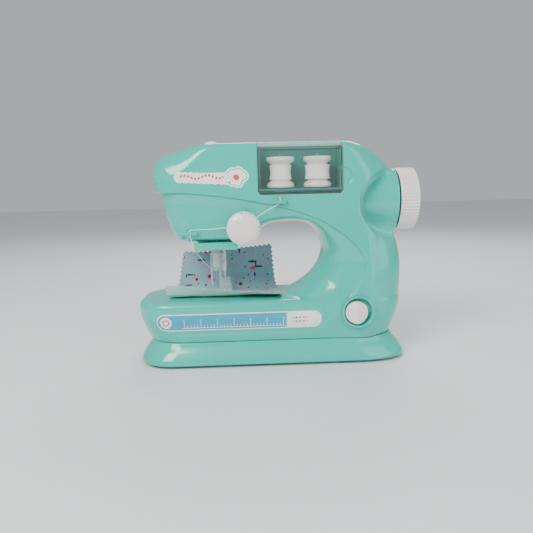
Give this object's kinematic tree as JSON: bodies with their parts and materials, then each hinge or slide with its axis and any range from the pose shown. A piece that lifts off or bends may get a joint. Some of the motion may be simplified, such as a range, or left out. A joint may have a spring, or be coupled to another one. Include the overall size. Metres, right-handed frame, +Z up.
{
  "type": "toy sewing machine",
  "caption": "Small battery-driven toy sewing machine with a hinged clear spool cover, handwheel, needle and presser bars, thread tension knob and a piece of cloth on its bed.",
  "frame": {"origin": "on the table under the middle of the machine's overall size", "axes": "+X along the machine to the handwheel, +Y to the back, +Z up"},
  "size_m": [0.2656, 0.096, 0.2042],
  "materials": {
    "mint_plastic": "glossy moulded plastic, mint turquoise",
    "white_plastic": "glossy moulded plastic, warm white",
    "clear_plastic": "clear polished plastic",
    "dark_plastic": "matte moulded plastic",
    "natural_plastic": "self-coloured acetal",
    "rubber_foot": "soft rubber",
    "steel": "bright drawn steel",
    "brass_bush": "turned brass",
    "board": "solder-masked laminate",
    "cell": "printed steel can",
    "thread": "spun thread",
    "cloth": "printed cotton"
  },
  "bodies": {
    "casing": {"front_shell": "mint_plastic", "rear_shell": "mint_plastic", "base_tray": "mint_plastic", "battery_door": "mint_plastic", "foot_front_left": "rubber_foot", "foot_front_right": "rubber_foot", "foot_rear_left": "rubber_foot", "foot_rear_right": "rubber_foot", "battery_box": "dark_plastic", "battery_1": "cell", "battery_2": "cell", "battery_3": "cell", "contact_strip_left": "steel", "contact_strip_right": "steel", "circuit_board": "board", "speaker": "dark_plastic", "pedal_socket": "dark_plastic", "chassis": "natural_plastic", "motor": "steel", "shaft_bush_left": "brass_bush", "shaft_bush_right": "brass_bush", "presser_spring": "steel", "needle_housing": "mint_plastic", "lamp_lens": "clear_plastic", "needle_plate": "steel", "bobbin_case": "dark_plastic", "switch_bezel": "mint_plastic", "switch_body": "dark_plastic", "spool_tray": "mint_plastic", "upper_thread_guide": "mint_plastic", "lower_thread_guide": "mint_plastic", "upper_thread": "thread", "fabric_piece": "cloth", "casing_screw_1": "steel", "casing_screw_2": "steel", "door_screw": "steel"},
    "drive": {"main_shaft": "steel", "shaft_gear": "natural_plastic", "crank_disc": "natural_plastic", "handwheel": "white_plastic", "handwheel_cap": "white_plastic"},
    "idler": {"idler_gear": "natural_plastic"},
    "pinion": {"motor_pinion": "natural_plastic"},
    "needle_unit": {"needle_bar": "steel", "needle_clamp": "white_plastic", "needle": "steel"},
    "presser_unit": {"presser_bar": "steel", "presser_foot": "clear_plastic", "needle_guard": "clear_plastic"},
    "presser_arm": {"presser_lever": "white_plastic"},
    "feed": {"feed_dog": "steel"},
    "bobbin_unit": {"bobbin": "clear_plastic"},
    "knob": {"tension_knob": "white_plastic"},
    "switch": {"mode_switch": "white_plastic"},
    "button": {"light_button": "white_plastic"},
    "cover": {"spool_cover": "clear_plastic"},
    "spool_a": {"spool_left": "white_plastic", "winding_left": "thread"},
    "spool_b": {"spool_right": "white_plastic", "winding_right": "thread"}
  },
  "joints": [
    {"name": "handwheel_spin", "type": "hinge", "parent": "casing", "child": "drive", "pos_m": [0.00175, 0, 0.1477], "axis": [1, 0, 0], "continuous": true},
    {"name": "idler_spin", "type": "hinge", "parent": "casing", "child": "idler", "pos_m": [0.00175, 0, 0.1237], "axis": [1, 0, 0], "continuous": true},
    {"name": "pinion_spin", "type": "hinge", "parent": "casing", "child": "pinion", "pos_m": [0.00175, 0, 0.1007], "axis": [1, 0, 0], "continuous": true},
    {"name": "needle_slide", "type": "slide", "parent": "casing", "child": "needle_unit", "axis": [0, 0, 1], "range_m": [-0.007, 0.007]},
    {"name": "presser_slide", "type": "slide", "parent": "casing", "child": "presser_unit", "axis": [0, 0, 1], "range_m": [0, 0.005], "stiffness_N_per_m": 200, "springref_m": -0.005, "deforming": ["presser_spring"]},
    {"name": "presser_lever_hinge", "type": "hinge", "parent": "casing", "child": "presser_arm", "pos_m": [-0.05275, 0.024, 0.13], "axis": [1, 0, 0], "range_deg": [-17.2, 0]},
    {"name": "feed_slide", "type": "slide", "parent": "casing", "child": "feed", "axis": [0, 1, 0], "range_m": [-0.0015, 0.0015]},
    {"name": "bobbin_spin", "type": "hinge", "parent": "casing", "child": "bobbin_unit", "pos_m": [-0.05975, 0, 0.04], "axis": [0, 0, 1], "continuous": true},
    {"name": "tension_knob_turn", "type": "hinge", "parent": "casing", "child": "knob", "pos_m": [-0.03195, -0.04, 0.126], "axis": [0, 1, 0], "range_deg": [-150, 150]},
    {"name": "mode_switch_turn", "type": "hinge", "parent": "casing", "child": "switch", "pos_m": [0.06855, -0.04, 0.0472], "axis": [0, 1, 0], "range_deg": [-40, 40]},
    {"name": "light_button_press", "type": "slide", "parent": "casing", "child": "button", "axis": [0, 0, 1], "range_m": [-0.0025, 0], "stiffness_N_per_m": 200, "springref_m": 0.001},
    {"name": "spool_cover_hinge", "type": "hinge", "parent": "casing", "child": "cover", "pos_m": [0.00175, -0.0074, 0.1986], "axis": [-1, 0, 0], "range_deg": [0, 95]},
    {"name": "spool_left_spin", "type": "hinge", "parent": "casing", "child": "spool_a", "pos_m": [0.00295, -0.02, 0.175], "axis": [0, 0, 1], "continuous": true},
    {"name": "spool_right_spin", "type": "hinge", "parent": "casing", "child": "spool_b", "pos_m": [0.03695, -0.02, 0.175], "axis": [0, 0, 1], "continuous": true}
  ],
  "couplings": [
    {"joint": "idler_spin", "follows": "handwheel_spin", "ratio": -3},
    {"joint": "pinion_spin", "follows": "handwheel_spin", "ratio": 10.8},
    {"joint": "presser_lever_hinge", "follows": "presser_slide", "rad_per_m": -58.8}
  ]
}
